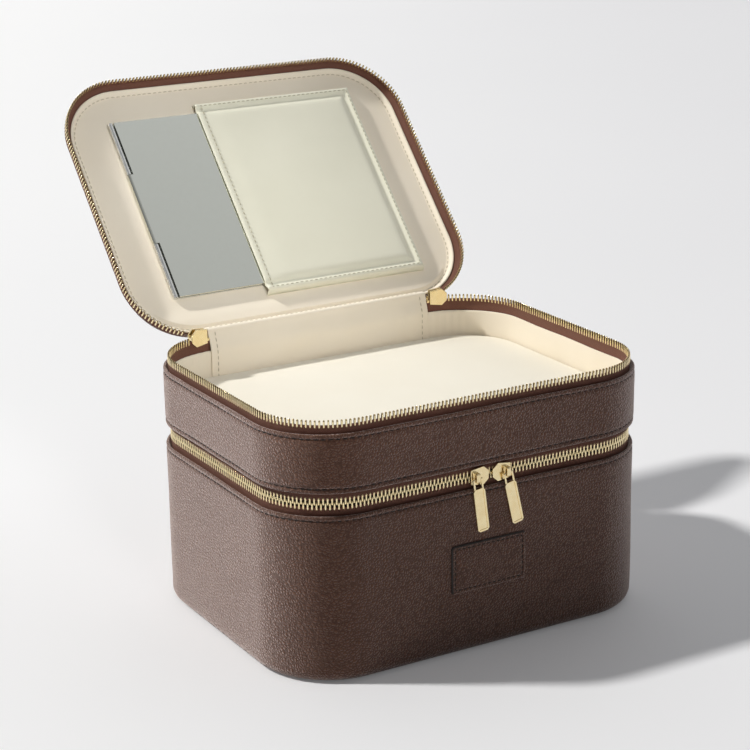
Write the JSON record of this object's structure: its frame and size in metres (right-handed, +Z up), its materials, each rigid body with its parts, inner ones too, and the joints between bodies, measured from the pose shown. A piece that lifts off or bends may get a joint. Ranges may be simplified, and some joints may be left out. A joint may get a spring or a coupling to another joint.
{
  "type": "vanity case",
  "caption": "Rounded leather vanity case: a deep base, a shallow tray hinged and zipped on top of it, and a thin zipped lid laid back with a mirror in a lining pocket.",
  "frame": {"origin": "middle of the base's underside, on the table", "axes": "+Z up, the front with the patch faces -Y, +X to the right of someone facing the front"},
  "size_m": [0.23, 0.3041, 0.2694],
  "materials": {
    "leather": "fine pebbled grain, satin",
    "board": "raw fibreboard",
    "lining": "matt cream cloth",
    "padding": "matt cream cloth over foam",
    "zip_tape": "woven tape",
    "zip_brass": "polished",
    "mirror": "polished",
    "mirror_metal": "satin"
  },
  "bodies": {
    "base": {"base_leather_shell": "leather", "base_wall_board": "board", "base_floor_board": "board", "base_lining": "lining", "front_patch": "leather", "lower_zip_tape_base": "zip_tape", "lower_zip_teeth_base": "zip_brass", "lower_zip_stops_base": "zip_brass", "lower_hinge_leather": "leather", "lower_hinge_lining": "lining"},
    "tray": {"tray_leather_band": "leather", "tray_wall_board": "board", "tray_floor_board": "board", "tray_wall_lining": "lining", "tray_floor_pad": "padding", "tray_underside_lining": "lining", "lower_zip_tape_tray": "zip_tape", "lower_zip_teeth_tray": "zip_brass", "lower_zip_stops_tray": "zip_brass", "upper_zip_tape_tray": "zip_tape", "upper_zip_teeth_tray": "zip_brass", "upper_zip_stops_tray": "zip_brass", "upper_hinge_leather": "leather", "upper_hinge_lining": "lining"},
    "lid": {"lid_leather_shell": "leather", "lid_board": "board", "lid_lining": "lining", "upper_zip_tape_lid": "zip_tape", "upper_zip_teeth_lid": "zip_brass", "mirror_pocket": "lining", "mirror_pocket_hem": "lining"},
    "mirror": {"mirror_plate": "mirror", "mirror_stand": "mirror_metal", "mirror_hinge_pin": "mirror_metal"},
    "lower_left_slider": {"lower_left_slider": "zip_brass"},
    "lower_left_pull": {"lower_left_pull": "zip_brass"},
    "lower_right_slider": {"lower_right_slider": "zip_brass"},
    "lower_right_pull": {"lower_right_pull": "zip_brass"},
    "upper_left_slider": {"upper_left_slider": "zip_brass"},
    "upper_left_pull": {"upper_left_pull": "zip_brass"},
    "upper_right_slider": {"upper_right_slider": "zip_brass"},
    "upper_right_pull": {"upper_right_pull": "zip_brass"}
  },
  "joints": [
    {"name": "tray_hinge", "type": "hinge", "parent": "base", "child": "tray", "pos_m": [0, 0.0893, 0.0975], "axis": [-1, 0, 0], "range_deg": [0, 75], "deforming": ["lower_hinge_leather", "lower_hinge_lining", "lower_zip_teeth_tray", "lower_zip_tape_tray"]},
    {"name": "lid_hinge", "type": "hinge", "parent": "tray", "child": "lid", "pos_m": [0, 0.087, 0.142], "axis": [1, 0, 0], "range_deg": [0, 133.5], "deforming": ["upper_hinge_leather", "upper_hinge_lining", "upper_zip_teeth_lid", "upper_zip_tape_lid"]},
    {"name": "mirror_slide", "type": "slide", "parent": "lid", "child": "mirror", "axis": [-1, 0, 0], "range_m": [0, 0.02]},
    {"name": "lower_left_run", "type": "slide", "parent": "base", "child": "lower_left_slider", "axis": [-1, 0, 0], "range_m": [0, 0.06], "deforming": ["lower_zip_teeth_base", "lower_zip_teeth_tray"]},
    {"name": "lower_right_run", "type": "slide", "parent": "base", "child": "lower_right_slider", "axis": [1, 0, 0], "range_m": [0, 0.056], "deforming": ["lower_zip_teeth_base", "lower_zip_teeth_tray"]},
    {"name": "upper_left_run", "type": "hinge", "parent": "tray", "child": "upper_left_slider", "pos_m": [-0.072, 0.047, 0.141], "axis": [0, 0, 1], "range_deg": [0, 74], "deforming": ["upper_zip_teeth_tray"]},
    {"name": "upper_right_run", "type": "hinge", "parent": "tray", "child": "upper_right_slider", "pos_m": [0.072, 0.047, 0.141], "axis": [0, 0, -1], "range_deg": [0, 74], "deforming": ["upper_zip_teeth_tray"]},
    {"name": "lower_left_pull_swing", "type": "hinge", "parent": "lower_left_slider", "child": "lower_left_pull", "pos_m": [-0.0073, -0.0908, 0.09665], "axis": [-0.9914, 0, -0.1305], "range_deg": [0, 120]},
    {"name": "lower_right_pull_swing", "type": "hinge", "parent": "lower_right_slider", "child": "lower_right_pull", "pos_m": [0.0116, -0.0908, 0.09665], "axis": [-0.9744, 0, -0.225], "range_deg": [0, 120]},
    {"name": "upper_left_pull_swing", "type": "hinge", "parent": "upper_left_slider", "child": "upper_left_pull", "pos_m": [-0.07754, 0.09054, 0.14015], "axis": [0.9819, 0.1893, 0], "range_deg": [0, 45]},
    {"name": "upper_right_pull_swing", "type": "hinge", "parent": "upper_right_slider", "child": "upper_right_pull", "pos_m": [0.07754, 0.09054, 0.14015], "axis": [0.9819, -0.1893, 0], "range_deg": [0, 45]}
  ]
}
